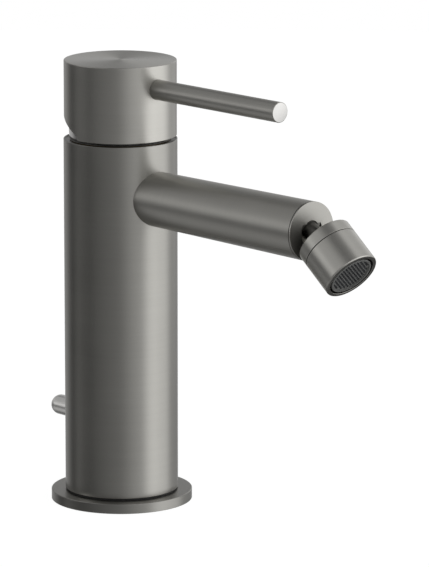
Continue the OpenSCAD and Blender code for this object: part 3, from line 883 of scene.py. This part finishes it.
class MIXER_OT_outlet(bpy.types.Operator):
    """Build the outlet insert: a cup whose front is slotted into ribs, with small openings between them"""

    bl_idname = "mixer.outlet"
    bl_label = "Outlet Insert"

    def execute(self, context):
        size = sizes()
        at = nozzle_places(size)
        outer, lip = at.bore - 0.85, at.mouth - 0.1
        front = lip - 0.6
        back = front - 1.2
        rim, wall, flange, flange_hole = outer - 0.7, outer - 0.97, at.bore - FIT, outer - 2
        foot, flange_top, step = at.insert, at.insert + 2, at.insert + 3
        bm = turn([
            (0, front), (rim, front), (rim, lip), (outer, lip), (outer, flange_top), (flange, flange_top),
            (flange, foot), (flange_hole, foot), (flange_hole, step), (wall, step), (wall, back), (0, back),
        ])
        soften(bm, size.fine_rim, (outer, lip))
        slot, reach = size.rib_pitch - size.rib, outer - 0.85
        shape = carve(loose(bm), *grille_cuts(size.rib_pitch, slot, reach, front, back))
        shape.data.transform(Matrix.Rotation(math.radians(RIB_TURN), 4, "Z"))
        plastic = ribbed("ribbed_insert", AT_NOZZLE, front)
        finish_piece(shape, "outlet_insert", plastic, "nozzle", "aerator_insert", AT_NOZZLE)
        return {"FINISHED"}


class MIXER_OT_knob(bpy.types.Operator):
    """Build the knob of the pop-up lever with its round end"""

    bl_idname = "mixer.knob"
    bl_label = "Pop-up Knob"

    def execute(self, context):
        size = sizes()
        radius, start, end = size.knob, low("popup_knob").y, high("popup_knob").y
        bore, deep = size.arm + FIT, start + size.arm_deep + FIT
        bm = turn([
            (0, deep), (bore, deep), (bore, start), (radius, start),
            *arc(radius, 0, 90, 16, end - radius)[:-1], (0, end),
        ])
        soften(bm, size.rim, (radius, start))
        bright = brushed("bright_knob", AT_KNOB, context.scene.mixer_colours.bright, 0.3, 0.0)
        finish_piece(loose(bm), "knob_shell", bright, "popup_lever", "popup_knob", AT_KNOB)
        return {"FINISHED"}


class MIXER_OT_inner(bpy.types.Operator):
    """Give the pieces that stay as the frame made them their finishes"""

    bl_idname = "mixer.inner"
    bl_label = "Inner Finishes"

    def execute(self, context):
        colours = context.scene.mixer_colours
        finishes = {
            "gunmetal": gunmetal("small", AT_KNOB),
            "brass": brushed("machined_brass", UPRIGHT, colours.brass, 0.34, 0.4, grain=1.4),
            "steel": brushed("machined_steel", UPRIGHT, colours.steel, 0.27, 0.4),
            "cartridge_plastic": moulded("moulded_cartridge", colours.white_plastic, 0.42, 0.03),
            "dark_plastic": moulded("moulded_dark", colours.dark_plastic, 0.4, 0.12),
            "ceramic": moulded("lapped_ceramic", colours.ceramic, 0.22, 0.02, coat=0.3),
            "rubber": moulded("black_rubber", colours.rubber, 0.6, 0.2),
        }
        # The retaining nut is seen through the gap under the cap; its brass is painted nearly black there as
        # painted shade of the gap
        dark = shade(colours.brass, 0.12)
        own = {"retaining_nut": brushed("darkened_brass", UPRIGHT, dark, 0.45, 0.0, grain=1.4)}
        for name, node in frame["nodes"].items():
            if node.hide_render:
                continue
            slot = node.data.materials[0].name.split(".")[0]
            for place in node.material_slots:
                place.link = "OBJECT"
                place.material = own.get(name, finishes[slot])
        return {"FINISHED"}


# Stage

# Soft lights round the mixer: azimuth from the camera towards its right, elevation, angles from the light's
# middle to its outer edge and to its full strength, all in degrees, and that strength
LIGHTS = {
    "right": (82, -12, 40, 0, 1.1),
    "left strip": (-80, 10, 18, 0, 0.83),
    "front right": (49, 27, 64, 0, 0.74),
    "rear right panel": (121, 29, 52, 42, 0.62),
    "behind": (-174, -3, 59, 0, 0.46),
    "high left panel": (-98, 40, 45, 36, 0.35),
    "low front": (18, -39, 89, 0, 0.33),
    "front left": (-45, 30, 44, 0, 0.33),
    "low left": (-98, -38, 28, 0, 0.44),
    "left glow": (-88, -16, 26, 0, 0.05),
    "front left glow": (-62, -14, 24, 0, 0.05),
    "rear left panel": (-118, 1, 35, 28, 0.07),
}
# White backdrop that the metal sees behind the mixer, given the same way
BACKDROP = (180, -12, 16, 8)


def floor_material():
    """Pale floor: the camera sees it mostly white, with enough of its matt side to keep a faint shadow."""
    finish = Finish(bpy.data.materials.new("pale_floor"))
    seen = finish.add("ShaderNodeLightPath")
    matt = finish.add("ShaderNodeBsdfDiffuse", None, {"Color": (0.86, 0.86, 0.86)})["BSDF"]
    white = finish.add("ShaderNodeEmission", None, {"Color": (1, 1, 1), "Strength": 1.1})["Emission"]
    white_share = 0.88
    values = {0: seen["Is Camera Ray"] * white_share, 1: matt, 2: white}
    finish.surface(finish.add("ShaderNodeMixShader", None, values)["Shader"])
    return finish.owner


def studio(yaw):
    """World light: soft lights in a dim room, and a white backdrop that the camera and the metal see."""
    finish = Finish(bpy.data.worlds.new("studio"))
    way = finish.add("ShaderNodeTexCoord")["Generated"]
    seen = finish.add("ShaderNodeLightPath")

    def patch(azimuth, elevation, outer, inner):
        """A round soft patch of the room: 1 in its middle and 0 outside it."""
        turned, raised = yaw + math.radians(azimuth), math.radians(elevation)
        flat = math.cos(raised)
        middle = Vector((math.sin(turned) * flat, -math.cos(turned) * flat, math.sin(raised)))
        near = finish.add("ShaderNodeVectorMath", {"operation": "DOT_PRODUCT"}, {0: way, 1: middle})["Value"]
        return near.smooth(math.cos(math.radians(outer)), math.cos(math.radians(inner)))

    light = 0.0
    for *place, strength in LIGHTS.values():
        light = patch(*place) * strength + light
    white = seen["Is Camera Ray"] + seen["Is Transmission Ray"] + seen["Is Glossy Ray"] * patch(*BACKDROP)
    values = {"Strength": white + (1 - white) * light, "Color": (1, 1, 1)}
    finish.surface(finish.add("ShaderNodeBackground", None, values)["Background"])
    return finish.owner


class MIXER_OT_stage(bpy.types.Operator):
    """Set up the pale floor, the soft studio light and the camera"""

    bl_idname = "mixer.stage"
    bl_label = "Stage"

    def execute(self, context):
        stage = context.scene.mixer_stage
        just_below = -0.0002
        bm = bmesh.new()
        bmesh.ops.create_circle(bm, cap_ends=True, segments=96, radius=stage.floor)
        bmesh.ops.translate(bm, vec=(0, 0, just_below), verts=bm.verts)
        floor = loose(bm, "floor")
        floor.data.materials.append(floor_material())
        floor.visible_glossy = False

        camera_data = bpy.data.cameras.new("camera")
        camera_data.lens = stage.lens
        camera_data.sensor_width = 36
        camera_data.clip_end = 20
        camera = bpy.data.objects.new("camera", camera_data)
        camera.location = stage.eye
        camera.rotation_euler = (math.radians(90) - stage.pitch, 0, stage.yaw)
        context.scene.collection.objects.link(camera)
        context.scene.camera = camera

        context.scene.world = studio(stage.yaw)
        context.scene.view_settings.view_transform = "Standard"
        return {"FINISHED"}


class MIXER_PT_panel(bpy.types.Panel):
    """The mixer's pieces, sizes and colours"""

    bl_idname = "MIXER_PT_panel"
    bl_label = "Bidet Mixer"
    bl_space_type = "VIEW_3D"
    bl_region_type = "UI"
    bl_category = "Mixer"

    def draw(self, context):
        for operator in PIECES:
            self.layout.operator(operator.bl_idname)
        for name, group in GROUPS.items():
            column = self.layout.column(align=True)
            for entry in group.__annotations__:
                column.prop(getattr(context.scene, name), entry)


PIECES = (
    MIXER_OT_base, MIXER_OT_body, MIXER_OT_cap, MIXER_OT_dome, MIXER_OT_lever, MIXER_OT_spout, MIXER_OT_ball,
    MIXER_OT_nozzle, MIXER_OT_outlet, MIXER_OT_knob, MIXER_OT_inner, MIXER_OT_stage,
)
GROUPS = {
    "mixer_detail": MixerDetail,
    "mixer_sizes": MixerSizes,
    "mixer_colours": MixerColours,
    "mixer_stage": MixerStage,
}
CLASSES = (*GROUPS.values(), *PIECES, MIXER_PT_panel)


def register():
    """Makes the classes known, and gives every scene its settings."""
    for cls in CLASSES:
        bpy.utils.register_class(cls)
    for name, group in GROUPS.items():
        setattr(bpy.types.Scene, name, PointerProperty(type=group))


def unregister():
    """Takes the settings and the classes away again."""
    for name in GROUPS:
        delattr(bpy.types.Scene, name)
    for cls in reversed(CLASSES):
        bpy.utils.unregister_class(cls)


def main():
    """Builds every piece and the stage."""
    register()
    for operator in PIECES:
        getattr(bpy.ops.mixer, operator.bl_idname.split(".")[1])()


if __name__ == "__main__":
    main()
